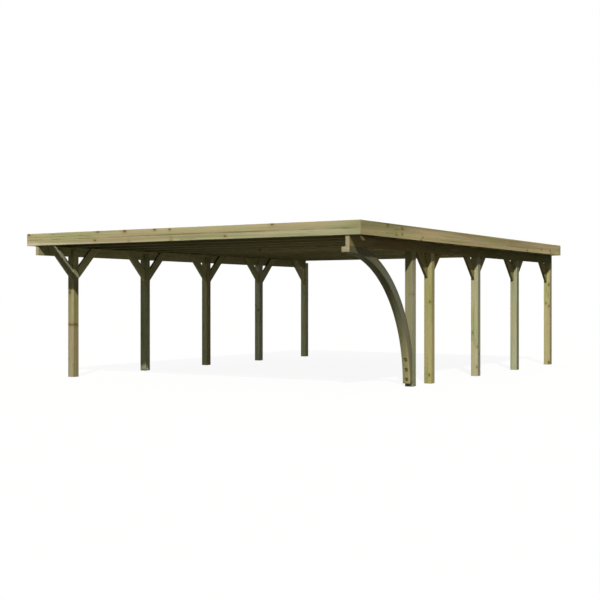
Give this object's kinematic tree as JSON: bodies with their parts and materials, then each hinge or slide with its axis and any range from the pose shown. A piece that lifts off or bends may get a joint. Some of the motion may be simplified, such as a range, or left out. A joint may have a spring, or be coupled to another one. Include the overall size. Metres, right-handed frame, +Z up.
{
  "type": "double carport",
  "caption": "Open flat-roofed double carport of square timber posts, knee braces, purlins and rafters, with a curved arch brace at the front of one side.",
  "frame": {"origin": "middle of the roof's plan, on the ground that the posts stand on", "axes": "+X to the right seen from the front, the side with the arch; +Y to the rear; +Z up"},
  "size_m": [6, 8.13, 2.303],
  "materials": {
    "post_timber": "matte",
    "beam_timber": "matte",
    "brace_timber": "matte",
    "arch_timber": "matte",
    "fascia_board": "matte",
    "roof_sheet": "satin"
  },
  "bodies": {
    "root": {"left_post_1": "post_timber", "left_post_2": "post_timber", "left_post_3": "post_timber", "left_post_4": "post_timber", "left_post_5": "post_timber", "right_post_1": "post_timber", "right_post_2": "post_timber", "right_post_3": "post_timber", "right_post_4": "post_timber", "right_post_5": "post_timber", "left_purlin": "beam_timber", "right_purlin": "beam_timber", "left_braces_1": "brace_timber", "left_braces_2": "brace_timber", "left_braces_3": "brace_timber", "left_braces_4": "brace_timber", "left_braces_5": "brace_timber", "right_braces_2": "brace_timber", "right_braces_3": "brace_timber", "right_braces_4": "brace_timber", "right_braces_5": "brace_timber", "entry_arch": "arch_timber", "rafter_01": "beam_timber", "rafter_02": "beam_timber", "rafter_03": "beam_timber", "rafter_04": "beam_timber", "rafter_05": "beam_timber", "rafter_06": "beam_timber", "rafter_07": "beam_timber", "rafter_08": "beam_timber", "rafter_09": "beam_timber", "rafter_10": "beam_timber", "rafter_11": "beam_timber", "rafter_12": "beam_timber", "rafter_13": "beam_timber", "front_fascia": "fascia_board", "rear_fascia": "fascia_board", "left_fascia": "fascia_board", "right_fascia": "fascia_board", "roof_sheet_1": "roof_sheet", "roof_sheet_2": "roof_sheet", "roof_sheet_3": "roof_sheet", "roof_sheet_4": "roof_sheet", "roof_sheet_5": "roof_sheet", "roof_sheet_6": "roof_sheet"}
  },
  "joints": []
}
